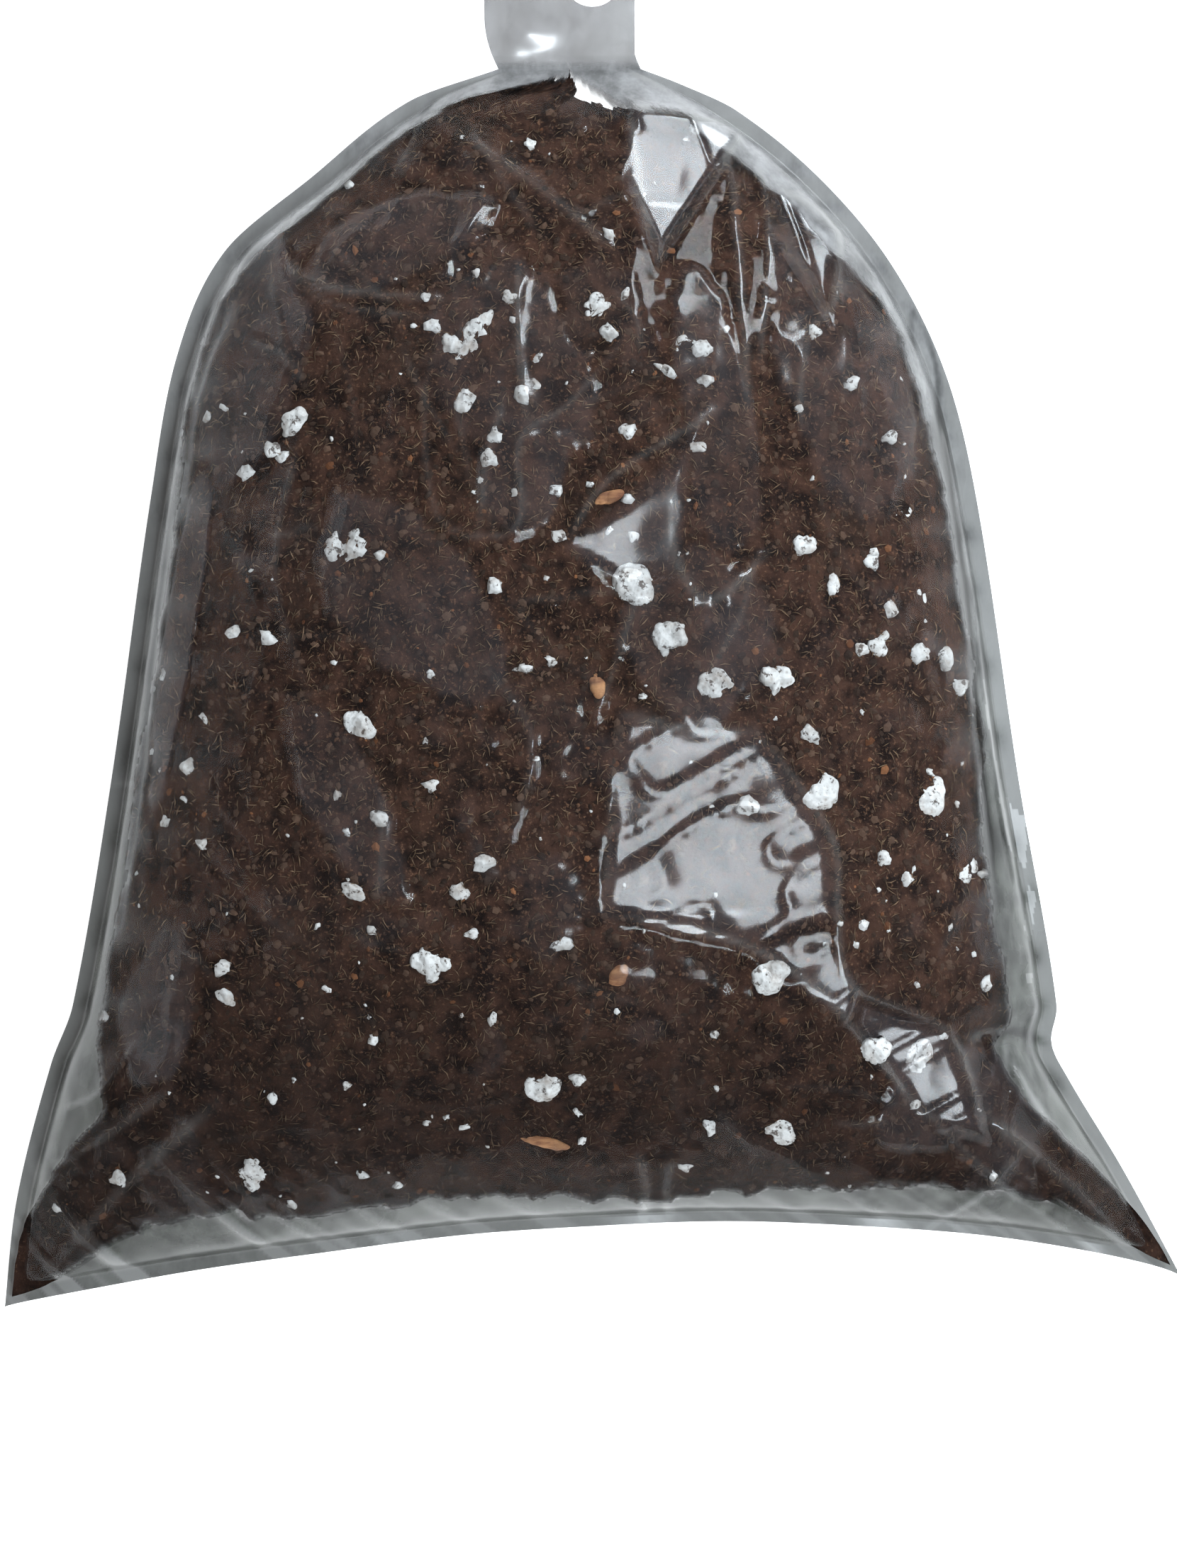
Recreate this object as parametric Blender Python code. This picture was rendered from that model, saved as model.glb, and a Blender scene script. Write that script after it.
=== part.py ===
"""A clear film bag of potting mix, lying on its back.

The bag is a pouch of clear film, welded flat along its edge and narrowed at the top into a hanging
tab with a round hole. It holds a fill of dark coco peat. The coarse perlite granules and bark chips
that lie against the front film are pieces of their own, each seated in its own pocket in the fill.

Frame: metres, +Z up. The origin is on the floor under the middle of the bag. +Y points to the hanging
tab, and +X to the right as the bag is looked down on.
"""

import math
import random

import bmesh
import bpy
from mathutils import Euler, Matrix, Vector
from mathutils.bvhtree import BVHTree

MM = 0.001  # every size below is in millimetres

# Driving dimensions
BAG_HEIGHT = 234.0  # bottom corners to the top of the tab
FRONT_DEPTH = 37.0  # how far the front swells above the welded edge
BACK_DEPTH = 40.0  # how far the back would swell if the floor didn't flatten it
EDGE_RISE = 24.0  # height of the welded edge above the floor, halfway up the sides
FILM = 0.15  # film thickness
WELD = 2.6  # width of the flat weld round the edge
SLOT = 0.3  # the space left between the two layers where they are pressed together
SOIL_GAP = 1.4  # front film to fill, where granules stand proud of the fill
BACK_GAP = 0.4  # back film to fill
SEAT_GAP = 0.4  # granule to fill and granule to film

# The welded edge, from the bottom corners up to the neck: (x, y) at each bend
NECK_Y = 93.0
LEFT_EDGE = (
    (-100.6, -117.0), (-98.0, -98.0), (-91.8, -75.0), (-88.0, -65.0), (-81.2, -27.0), (-74.3, 21.0),
    (-69.8, 45.0), (-62.0, 62.0), (-47.5, 74.5), (-31.0, 87.5), (-16.0, NECK_Y),
)
RIGHT_EDGE = (
    (100.6, -112.0), (90.0, -93.0), (80.5, -77.5), (77.6, -71.5), (78.4, -65.0), (71.7, -27.0),
    (64.3, 21.0), (59.0, 42.0), (50.0, 60.0), (38.0, 74.5), (24.0, 86.0), (14.5, 90.5), (8.0, NECK_Y),
)
SEAM_ARCH = 12.6  # how far the swelling draws the bottom seam up between its corners
ARCH_REACH = 0.3  # share of the body's height over which that fades out
SEAM_WAVE = 1.4  # height of the waves in the bottom seam
SEAM_WAVES = 4.5
SEAM_DROOP = 5.0  # how far the bottom seam hangs below EDGE_RISE
CORNER_DROOP = 15.0  # how much further its corners hang
NECK_DROOP = 5.0

# How the swelling rounds off towards the weld: a higher fullness is flatter in the middle, and a lower
# roundness is steeper at the weld
SIDE_FULLNESS, SIDE_ROUNDNESS = 2.6, 0.62
WIDEST = 0.42  # share of the body's height where the bag is fullest
BOTTOM_FULLNESS, BOTTOM_ROUNDNESS = 2.3, 0.62
TOP_FULLNESS, TOP_ROUNDNESS = 2.4, 0.85

# The hanging tab
TAB_TOP = BAG_HEIGHT - 117.0
TAB_LEFT = -18.4
TAB_RIGHT = 7.0
TAB_ROUNDING = 8.0
LEFT_FLARE, LEFT_FLARE_LENGTH = 2.4, 9.0  # how much wider the tab is at its foot, and over what length
RIGHT_FLARE, RIGHT_FLARE_LENGTH = 1.0, 3.0
TAB_WELD = 0.08  # share of the tab's width
TAB_SEALED = 0.14
HOLE_X = -0.2
HOLE_Y = 108.4
HOLE_RADIUS = 4.9

# Where the fill ends, measured in from the welded edge
CLEAR_LEFT = 5.0
CLEAR_RIGHT = 6.8
CLEAR_BOTTOM = 9.5
FILL_TOP = 0.975  # share of the body's height

# Grid of the film: shares of the body's height and columns across
BODY_ROWS = 20
TAB_ROWS = (97.0, 102.0, 108.0, 112.0, 115.0, 116.4, TAB_TOP)
COLUMNS = 24

# Coarse perlite against the front film: x, y, length, width, turn in degrees
PERLITE = (
    (-40.1, 11.3, 9.2, 7.8, 20), (-19.9, 45.8, 12.2, 4.6, 60), (-20.8, 35.2, 5.6, 4.8, 0),
    (-49.6, 31.8, 5.6, 4.6, 35), (0.6, 51.1, 5.2, 4.3, 80), (15.8, 44.0, 6.6, 5.0, 10),
    (6.7, 4.7, 8.4, 7.0, 130), (12.4, -3.2, 6.2, 5.5, 40), (51.0, 18.4, 5.2, 4.6, 15),
    (54.2, 2.9, 6.4, 5.2, 100), (47.2, -4.4, 5.0, 4.3, 50), (19.8, -11.4, 6.6, 5.5, 20),
    (30.7, -10.8, 5.7, 5.2, 75), (-38.3, -17.9, 6.6, 5.5, 150), (37.3, -29.2, 8.4, 6.6, 30),
    (56.0, -30.4, 9.6, 5.9, 65), (62.0, -42.0, 6.4, 5.2, 25), (-27.0, -57.2, 6.6, 5.5, 110),
    (28.9, -59.6, 7.0, 5.9, 45), (46.5, -71.6, 6.2, 5.2, 0), (54.2, -73.0, 5.6, 4.8, 60),
    (-8.6, -77.6, 7.0, 6.2, 35), (31.3, -85.4, 7.0, 5.9, 120), (-56.2, -92.0, 7.0, 5.7, 15),
)
# Bark and coir chips against the front film
BARK = (
    (2.5, 19.2, 5.2, 2.6, 25), (0.6, -11.4, 4.4, 2.4, 100), (3.9, -59.0, 5.0, 3.0, 60),
    (-8.0, -86.6, 9.0, 2.2, -20),
)
PERLITE_DEPTH, BARK_DEPTH = 0.61, 0.7  # depth as a share of the width
PERLITE_ROUGHNESS, BARK_ROUGHNESS = 0.22, 0.16  # how far corners are moved in, as a share of the radius
PERLITE_SEED, BARK_SEED = 100, 500
HOLE_SEGMENTS = 32
HOLE_PUNCH_LENGTH = 20.0


def lerp(a, b, share):
    return a + (b - a) * share


def edge_x(edge, y):
    """x of an edge at height y, on a smooth curve through the edge's points."""
    last = len(edge) - 1
    k = min(max(sum(1 for point in edge if point[1] <= y) - 1, 0), last - 1)

    def slope(i):
        (x0, y0), (x1, y1) = edge[max(i - 1, 0)], edge[min(i + 1, last)]
        return (x1 - x0) / (y1 - y0)

    (x0, y0), (x1, y1) = edge[k], edge[k + 1]
    span = y1 - y0
    s = min(max((y - y0) / span, 0.0), 1.0)
    bend = s * s * (3 - 2 * s)
    return (
        lerp(x0, x1, bend) + span * (s * (1 - s) ** 2 * slope(k) - s * s * (1 - s) * slope(k + 1))
    )


def body_ends(height):
    """The left and right ends of the row at a share of the body's height."""
    left_y = lerp(LEFT_EDGE[0][1], NECK_Y, height)
    right_y = lerp(RIGHT_EDGE[0][1], NECK_Y, height)
    return (edge_x(LEFT_EDGE, left_y), left_y), (edge_x(RIGHT_EDGE, right_y), right_y)


def body_point(height, across):
    """The plan position at a share of the body's height and a share of its width."""
    left, right = body_ends(height)
    fade = max(0.0, 1 - height / ARCH_REACH) ** 1.5
    arch = SEAM_ARCH * max(math.sin(math.pi * across**1.2), 0.0) ** 0.7 * fade
    return lerp(left[0], right[0], across), lerp(left[1], right[1], across) + arch


def tab_ends(y):
    """The left and right ends of the tab at height y, with its rounded top corners."""
    left = TAB_LEFT + LEFT_FLARE * (1 - min((y - NECK_Y) / LEFT_FLARE_LENGTH, 1.0)) ** 2
    right = TAB_RIGHT + RIGHT_FLARE * (1 - min((y - NECK_Y) / RIGHT_FLARE_LENGTH, 1.0)) ** 2
    past = max(0.0, y - (TAB_TOP - TAB_ROUNDING))
    inset = TAB_ROUNDING - math.sqrt(max(TAB_ROUNDING**2 - past**2, 0.0))
    return left + inset, right - inset


def column_shares(height):
    """Shares of a row's width where its columns stand: edge, weld, end of the fill, evenly between."""
    left, right = body_ends(height)
    width = right[0] - left[0]
    shares = []
    for edge, y, clear in ((LEFT_EDGE, left[1], CLEAR_LEFT), (RIGHT_EDGE, right[1], CLEAR_RIGHT)):
        slant = math.hypot(1.0, (edge_x(edge, y + 1.0) - edge_x(edge, y - 1.0)) / 2.0)
        shares.append((min(WELD * slant / width, 0.08), min(clear * slant / width, 0.2)))
    (weld_left, fill_left), (weld_right, fill_right) = shares
    between = COLUMNS - 4
    middle = [lerp(fill_left, 1 - fill_right, k / between) for k in range(between + 1)]
    return [0.0, weld_left] + middle + [1 - weld_right, 1.0]


def swell(height, across, weld_left, weld_right):
    """How far the bag is swollen at a place, from 0 at the weld to 1 in the middle."""
    across = min(max((across - weld_left) / (1 - weld_left - weld_right), 0.0), 1.0)
    sideways = max(1 - abs(2 * across - 1) ** SIDE_FULLNESS, 0.0) ** SIDE_ROUNDNESS
    up = min(max((height - BODY_HEIGHTS[1]) / (1 - BODY_HEIGHTS[1]), 0.0), 1.0)
    bottom = (1 - (1 - min(up / WIDEST, 1.0)) ** BOTTOM_FULLNESS) ** BOTTOM_ROUNDNESS
    top = max(1 - max((up - WIDEST) / (1 - WIDEST), 0.0) ** TOP_FULLNESS, 0.0) ** TOP_ROUNDNESS
    return sideways * bottom * top


def edge_height(height, across):
    """Height of the plane of the weld: lower at the corners and the neck, and wavy along the seam."""
    corner = abs(2 * across - 1) ** 3 * (1 - height) ** 2.5
    seam = (1 - height) ** 8
    wave = SEAM_WAVE * math.sin(2 * math.pi * SEAM_WAVES * across) * seam
    return EDGE_RISE - CORNER_DROOP * corner - SEAM_DROOP * seam - NECK_DROOP * height**6 + wave


def body_heights():
    """The body's rows: seam edge, weld, end of the fill, evenly up to the fill's top, and the neck."""
    length = NECK_Y - LEFT_EDGE[0][1] - SEAM_ARCH
    first = CLEAR_BOTTOM / length
    evenly = [lerp(first, FILL_TOP, k / (BODY_ROWS - 3)) for k in range(BODY_ROWS - 2)]
    return [0.0, WELD / length] + evenly + [1.0]


BODY_HEIGHTS = body_heights()


def outer_layers():
    """The outside of the front and of the back film, as rows of points."""
    front, back = [], []
    for height in BODY_HEIGHTS:
        shares = column_shares(height)
        front_row, back_row = [], []
        for across in shares:
            x, y = body_point(height, across)
            flat = edge_height(height, across)
            share = swell(height, across, shares[1], 1 - shares[-2])
            inside = height > BODY_HEIGHTS[0] and 0.0 < across < 1.0
            pressed = FILM + (SLOT / 2 if inside else 0.0)
            front_row.append(Vector((x, y, flat + pressed + FRONT_DEPTH * share)))
            back_row.append(Vector((x, y, max(flat - pressed - BACK_DEPTH * share, 0.0))))
        front.append(front_row)
        back.append(back_row)
    for y in TAB_ROWS:
        left, right = tab_ends(y)
        between = [lerp(TAB_SEALED, 1 - TAB_SEALED, k / (COLUMNS - 4)) for k in range(COLUMNS - 3)]
        shares = [0.0, TAB_WELD] + between + [1 - TAB_WELD, 1.0]
        front_row, back_row = [], []
        for across in shares:
            flat = edge_height(1.0, across)
            pressed = FILM + (SLOT / 2 if 0.0 < across < 1.0 else 0.0)
            front_row.append(Vector((lerp(left, right, across), y, flat + pressed)))
            back_row.append(Vector((lerp(left, right, across), y, flat - pressed)))
        front.append(front_row)
        back.append(back_row)
    return front, back


def normals(layer, side):
    """The outward normal at each point of a layer; side is 1 for the front and -1 for the back."""
    rows, columns = len(layer), len(layer[0])
    result = []
    for i in range(rows):
        row = []
        for j in range(columns):
            along = layer[min(i + 1, rows - 1)][j] - layer[max(i - 1, 0)][j]
            across = layer[i][min(j + 1, columns - 1)] - layer[i][max(j - 1, 0)]
            row.append(across.cross(along).normalized() * side)
        result.append(row)
    return result


def sunk(layer, outward, distance):
    """A layer moved inwards by a distance."""
    return [
        [point - direction * distance for point, direction in zip(points, directions)]
        for points, directions in zip(layer, outward)
    ]


def add_rows(bm, layer):
    return [[bm.verts.new(point * MM) for point in row] for row in layer]


def skin(bm, rows, flip):
    """Faces over a grid of vertices."""
    for low, high in zip(rows, rows[1:]):
        for a, b, c, d in zip(low, low[1:], high[1:], high):
            quad = (a, d, c, b) if flip else (a, b, c, d)
            bm.faces.new([v for k, v in enumerate(quad) if v not in quad[:k]])


def material(name, color, roughness, alpha=1.0):
    made = bpy.data.materials.new(name)
    made.use_nodes = True
    shader = made.node_tree.nodes["Principled BSDF"]
    shader.inputs["Base Color"].default_value = (*color, 1.0)
    shader.inputs["Roughness"].default_value = roughness
    shader.inputs["Alpha"].default_value = alpha
    return made


def finish(bm, name, made, smooth=True):
    """Turn a bmesh into a named object with its faces pointing out."""
    bmesh.ops.recalc_face_normals(bm, faces=bm.faces)
    bmesh.ops.triangulate(bm, faces=bm.faces)
    mesh = bpy.data.meshes.new(name)
    bm.to_mesh(mesh)
    bm.free()
    if smooth:
        mesh.shade_smooth()
    mesh.materials.append(made)
    thing = bpy.data.objects.new(name, mesh)
    bpy.context.collection.objects.link(thing)
    return thing


def as_cutter(thing):
    thing.hide_render = True
    thing.display_type = "WIRE"
    return thing


def cut(thing, cutter):
    boolean = thing.modifiers.new("cut", "BOOLEAN")
    boolean.operation = "DIFFERENCE"
    boolean.object = cutter


def film_bag(front, back):
    """The pouch: one thin skin, welded round its edge and open only along the top of the tab."""
    bm = bmesh.new()
    outer_front = add_rows(bm, front)
    outer_back = add_rows(bm, back)
    last = COLUMNS
    inner_front_points = sunk(front, normals(front, 1), FILM)
    inner_back_points = sunk(back, normals(back, -1), FILM)
    inner_front, inner_back = [], []
    for i in range(1, len(front)):
        front_row, back_row = [], []
        for j in range(1, last):
            if i == 1 or j in (1, last - 1):
                shared = bm.verts.new((front[i][j] + back[i][j]) / 2 * MM)
                front_row.append(shared)
                back_row.append(shared)
            else:
                front_row.append(bm.verts.new(inner_front_points[i][j] * MM))
                back_row.append(bm.verts.new(inner_back_points[i][j] * MM))
        inner_front.append(front_row)
        inner_back.append(back_row)
    skin(bm, outer_front, flip=False)
    skin(bm, outer_back, flip=True)
    skin(bm, inner_front, flip=True)
    skin(bm, inner_back, flip=False)
    # the weld's thin outer edge, up the left side, along the bottom and up the right side
    for j in (0, last):
        skin(bm, [[row[j] for row in outer_back], [row[j] for row in outer_front]], flip=j == 0)
    skin(bm, [outer_back[0], outer_front[0]], flip=False)
    # the lips of the two layers at the top of the tab, with the ends of the weld beside them
    skin(bm, [outer_front[-1][1:last], inner_front[-1]], flip=False)
    skin(bm, [inner_back[-1], outer_back[-1][1:last]], flip=False)
    for outside, inside, end in ((0, 1, 0), (last, last - 1, -1)):
        bm.faces.new((
            outer_front[-1][outside], outer_front[-1][inside], inner_front[-1][end],
            outer_back[-1][inside], outer_back[-1][outside],
        ))
    bag = finish(bm, "film_bag", material("clear_film", (0.86, 0.89, 0.88), 0.08, 0.28))
    punch = bmesh.new()
    bmesh.ops.create_cone(
        punch, cap_ends=True, segments=HOLE_SEGMENTS, radius1=HOLE_RADIUS * MM, radius2=HOLE_RADIUS * MM,
        depth=HOLE_PUNCH_LENGTH * MM,
        matrix=Matrix.Translation(Vector((HOLE_X, HOLE_Y, edge_height(1.0, 0.5))) * MM),
    )
    cut(bag, as_cutter(finish(punch, "hole_punch", bag.data.materials[0])))
    return bag


def compost_fill(front, back):
    """The loose mix as one body, close inside the film and short of its clear edges."""
    bm = bmesh.new()
    first, last = 2, COLUMNS - 2
    top = len(BODY_HEIGHTS) - 2
    front_points = sunk(front, normals(front, 1), FILM + SOIL_GAP)
    back_points = sunk(back, normals(back, -1), FILM + BACK_GAP)
    upper = add_rows(bm, [row[first:last + 1] for row in front_points[2:top + 1]])
    lower = add_rows(bm, [row[first:last + 1] for row in back_points[2:top + 1]])
    skin(bm, upper, flip=False)
    skin(bm, lower, flip=True)
    for j in (0, -1):
        skin(bm, [[row[j] for row in lower], [row[j] for row in upper]], flip=j == 0)
    for i in (0, -1):
        skin(bm, [lower[i], upper[i]], flip=i == -1)
    return finish(bm, "compost_fill", material("coco_peat", (0.035, 0.018, 0.012), 0.9))


def lump(bm, place, size, turn, roughness, grow, seed):
    """A lumpy closed stone: an icosphere with its corners moved in, grown evenly by a distance."""
    jitter = random.Random(seed)
    made = bmesh.ops.create_icosphere(bm, subdivisions=2, radius=1.0)["verts"]
    spin = Euler((0.0, 0.0, math.radians(turn))).to_matrix()
    for vertex in made:
        shape = 1.0 - roughness * jitter.random()
        half = Vector((size[0] / 2, size[1] / 2, size[2] / 2)) * shape
        direction = vertex.co.copy()
        point = Vector(a * b for a, b in zip(half, direction)) + direction * grow
        vertex.co = place @ (spin @ point) * MM


def seated_pieces(fill, pieces, name, made, depth_share, roughness, seed):
    """Granules flush under the front film, and the pockets that seat them in the fill."""
    tree = BVHTree.FromObject(fill, bpy.context.evaluated_depsgraph_get())
    pockets = []
    for number, (x, y, length, width, turn) in enumerate(pieces, start=1):
        depth = width * depth_share
        hit, normal, _, _ = tree.ray_cast(Vector((x, y, 100.0)) * MM, Vector((0.0, 0.0, -1.0)))
        top = hit / MM + normal * (SOIL_GAP - SEAT_GAP)
        tilt = Vector((0.0, 0.0, 1.0)).rotation_difference(normal).to_matrix().to_4x4()
        place = Matrix.Translation(top - normal * depth / 2) @ tilt
        size = (length, width, depth)
        bm = bmesh.new()
        lump(bm, place, size, turn, roughness, 0.0, seed + number)
        finish(bm, f"{name}_{number:02d}", made, smooth=False)
        pockets.append((place, size, turn, roughness, SEAT_GAP, seed + number))
    return pockets


def main():
    for thing in list(bpy.data.objects):
        bpy.data.objects.remove(thing, do_unlink=True)
    front, back = outer_layers()
    film_bag(front, back)
    fill = compost_fill(front, back)
    perlite = material("perlite", (0.86, 0.84, 0.80), 0.85)
    bark = material("bark", (0.36, 0.17, 0.07), 0.8)
    pockets = seated_pieces(
        fill, PERLITE, "perlite_granule", perlite, PERLITE_DEPTH, PERLITE_ROUGHNESS, PERLITE_SEED
    )
    pockets += seated_pieces(fill, BARK, "bark_chip", bark, BARK_DEPTH, BARK_ROUGHNESS, BARK_SEED)
    bm = bmesh.new()
    for pocket in pockets:
        lump(bm, *pocket)
    cut(fill, as_cutter(finish(bm, "pockets", fill.data.materials[0])))


main()
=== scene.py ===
"""The looks of the compost bag: clear wrinkled film over dark coco peat, perlite, bark chips and fibres."""

import math
import random

import bpy
import numpy as np
from mathutils import Euler, Matrix, Vector
from mathutils.bvhtree import BVHTree


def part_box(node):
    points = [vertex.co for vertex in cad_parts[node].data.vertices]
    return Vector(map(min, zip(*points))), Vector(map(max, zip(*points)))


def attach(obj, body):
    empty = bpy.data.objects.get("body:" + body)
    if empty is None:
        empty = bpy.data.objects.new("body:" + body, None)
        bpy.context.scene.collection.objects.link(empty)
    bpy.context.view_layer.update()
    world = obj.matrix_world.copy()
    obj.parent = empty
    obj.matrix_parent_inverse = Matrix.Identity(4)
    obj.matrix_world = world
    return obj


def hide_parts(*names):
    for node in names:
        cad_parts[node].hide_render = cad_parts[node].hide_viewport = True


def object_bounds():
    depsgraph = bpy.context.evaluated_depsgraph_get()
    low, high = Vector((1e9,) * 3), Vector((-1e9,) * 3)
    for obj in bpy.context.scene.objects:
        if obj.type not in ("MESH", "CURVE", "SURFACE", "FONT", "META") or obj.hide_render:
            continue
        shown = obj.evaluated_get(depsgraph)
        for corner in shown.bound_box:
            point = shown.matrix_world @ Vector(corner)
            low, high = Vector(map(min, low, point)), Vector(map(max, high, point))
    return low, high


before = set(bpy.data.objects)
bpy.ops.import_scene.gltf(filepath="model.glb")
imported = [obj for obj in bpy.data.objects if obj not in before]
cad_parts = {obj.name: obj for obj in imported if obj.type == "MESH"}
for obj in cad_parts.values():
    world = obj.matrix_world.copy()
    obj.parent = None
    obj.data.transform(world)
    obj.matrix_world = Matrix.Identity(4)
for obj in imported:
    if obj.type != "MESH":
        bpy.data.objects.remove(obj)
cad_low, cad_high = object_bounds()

MM = 0.001  # lengths below are in millimetres, in the CAD model's frame

# The bag's driving sizes, as in the CAD model
NECK_Y = 93.0
TAB_TOP = cad_high.y / MM
TAB_LEFT = -18.4
TAB_RIGHT = 7.0
TAB_ROUNDING = 8.0
HOLE_X = -0.2
HOLE_Y = 108.4
HOLE_RADIUS = 4.9
LEFT_EDGE = (
    (-100.6, -117.0), (-98.0, -98.0), (-91.8, -75.0), (-88.0, -65.0), (-81.2, -27.0), (-74.3, 21.0),
    (-69.8, 45.0), (-62.0, 62.0), (-47.5, 74.5), (-31.0, 87.5), (-16.0, NECK_Y),
)
RIGHT_EDGE = (
    (100.6, -112.0), (90.0, -93.0), (80.5, -77.5), (77.6, -71.5), (78.4, -65.0), (71.7, -27.0), (64.3, 21.0),
    (59.0, 42.0), (50.0, 60.0), (38.0, 74.5), (24.0, 86.0), (14.5, 90.5), (8.0, NECK_Y),
)
SEAM_ARCH = 12.6
ARCH_REACH = 0.3
SEAM_WAVE = 1.4
SEAM_WAVES = 4.5
EDGE_RISE = 24.0
CORNER_DROOP = 15.0
NECK_DROOP = 5.0
FRONT_DEPTH = 37.0
BACK_DEPTH = 40.0
WELD = 2.6
FILM = 0.15

RANDOM_CREASES = 70
CLEAR_LEFT, CLEAR_RIGHT = 1.3, 2.2  # clear film between the weld's edge and the mix
CLEAR_BOTTOM = 7.0  # clear film between the bottom and the mix
FILL_TOP = 0.993

# How finely the pieces are made
FRONT_ROWS, FRONT_COLUMNS = 300, 300
BACK_ROWS, BACK_COLUMNS = 150, 140
SOIL_ROWS, SOIL_COLUMNS = 215, 200
TAB_SHARE = 0.1  # share of the film's rows in the tab


# ---------------------------------------------------------------- noise

def smooth_noise(points, cell, seed):
    """Smooth noise from -1 to 1 at points (N, k), with lumps about one cell across."""
    points = np.asarray(points, float) / cell
    base = np.floor(points).astype(np.int64)
    part = points - base
    part = part * part * part * (part * (part * 6 - 15) + 10)
    dims = points.shape[1]
    total = np.zeros(len(points))
    factors = np.array([73856093, 19349663, 83492791], np.int64)[:dims]
    for corner in range(2**dims):
        step = np.array([(corner >> d) & 1 for d in range(dims)], np.int64)
        key = ((base + step) * factors).sum(1) ^ (seed * 2654435761)
        key = (key ^ (key >> 13)) * 1274126177
        key = key ^ (key >> 16)
        value = (key & 0xFFFF) / 32767.5 - 1.0
        weight = np.prod(np.where(step == 1, part, 1 - part), axis=1)
        total += value * weight
    return total


def fractal(points, cell, seed, octaves=4, gain=0.55):
    """Layers of noise, each half as large as the one before."""
    total, strength, norm = 0.0, 1.0, 0.0
    for k in range(octaves):
        total = total + strength * smooth_noise(points, cell / 2**k, seed + k * 17)
        norm += strength
        strength *= gain
    return total / norm


def step_up(low, high, x):
    s = np.clip((x - low) / (high - low), 0, 1)
    return s * s * (3 - 2 * s)


# ---------------------------------------------------------------- the bag's form

def edge_x(edge, y):
    """x of an edge at the heights y, on a smooth curve through the edge's points."""
    points = np.array(edge)
    xs, ys = points[:, 0], points[:, 1]
    last = len(edge) - 1
    low, high = np.maximum(np.arange(last + 1) - 1, 0), np.minimum(np.arange(last + 1) + 1, last)
    slopes = (xs[high] - xs[low]) / (ys[high] - ys[low])
    k = np.clip(np.searchsorted(ys, y, side="right") - 1, 0, last - 1)
    span = ys[k + 1] - ys[k]
    s = np.clip((y - ys[k]) / span, 0, 1)
    bend = s * s * (3 - 2 * s)
    return xs[k] + (xs[k + 1] - xs[k]) * bend + span * (
        s * (1 - s) ** 2 * slopes[k] - s * s * (1 - s) * slopes[k + 1]
    )


def body_plan(height, across):
    """Plan position at shares of the body's height and of its width (arrays)."""
    left_y = LEFT_EDGE[0][1] + (NECK_Y - LEFT_EDGE[0][1]) * height
    right_y = RIGHT_EDGE[0][1] + (NECK_Y - RIGHT_EDGE[0][1]) * height
    left_x, right_x = edge_x(LEFT_EDGE, left_y), edge_x(RIGHT_EDGE, right_y)
    fade = np.maximum(0.0, 1 - height / ARCH_REACH) ** 1.5
    arch = SEAM_ARCH * np.maximum(np.sin(math.pi * np.clip(across, 0, 1) ** 1.2), 0.0) ** 0.7 * fade
    return left_x + (right_x - left_x) * across, left_y + (right_y - left_y) * across + arch


def weld_shares(height):
    """The weld's width at the left and right of each row, as a share of the row's width."""
    left_y = LEFT_EDGE[0][1] + (NECK_Y - LEFT_EDGE[0][1]) * height
    right_y = RIGHT_EDGE[0][1] + (NECK_Y - RIGHT_EDGE[0][1]) * height
    width = edge_x(RIGHT_EDGE, right_y) - edge_x(LEFT_EDGE, left_y)
    shares = []
    for edge, y in ((LEFT_EDGE, left_y), (RIGHT_EDGE, right_y)):
        slant = np.hypot(1.0, (edge_x(edge, y + 1.0) - edge_x(edge, y - 1.0)) / 2)
        shares.append(np.minimum(WELD * slant / width, 0.08))
    return shares


BODY_LENGTH = NECK_Y - LEFT_EDGE[0][1] - SEAM_ARCH


def swell(height, across):
    """How far the bag is swollen, from 0 at the weld to 1 in the middle."""
    weld_left, weld_right = weld_shares(height)
    inward = np.clip((across - weld_left) / (1 - weld_left - weld_right), 0, 1)
    sideways = np.maximum(1 - np.abs(2 * inward - 1) ** 2.6, 0) ** 0.62
    foot = WELD / BODY_LENGTH
    up = np.clip((height - foot) / (1 - foot), 0, 1)
    bottom = (1 - (1 - np.minimum(up / 0.42, 1)) ** 2.3) ** 0.62
    top = np.maximum(1 - np.maximum((up - 0.42) / 0.58, 0) ** 2.4, 0) ** 0.85
    return sideways * bottom * top


def edge_height(height, across):
    """Height of the plane of the weld."""
    corner = np.abs(2 * across - 1) ** 3 * (1 - height) ** 2.5
    seam = (1 - height) ** 8
    wave = SEAM_WAVE * np.sin(2 * math.pi * SEAM_WAVES * across) * seam
    return EDGE_RISE - CORNER_DROOP * corner - 5.0 * seam - NECK_DROOP * height**6 + wave


def tab_plan(y, across):
    left = TAB_LEFT + 2.4 * (1 - np.minimum((y - NECK_Y) / 9.0, 1.0)) ** 2
    right = TAB_RIGHT + 1.0 * (1 - np.minimum((y - NECK_Y) / 3.0, 1.0)) ** 2
    past = np.maximum(0.0, y - (TAB_TOP - TAB_ROUNDING))
    inset = TAB_ROUNDING - np.sqrt(np.maximum(TAB_ROUNDING**2 - past**2, 0.0))
    return left + inset + (right - left - 2 * inset) * across, y


# ---------------------------------------------------------------- folds and creases of the front film

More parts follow.
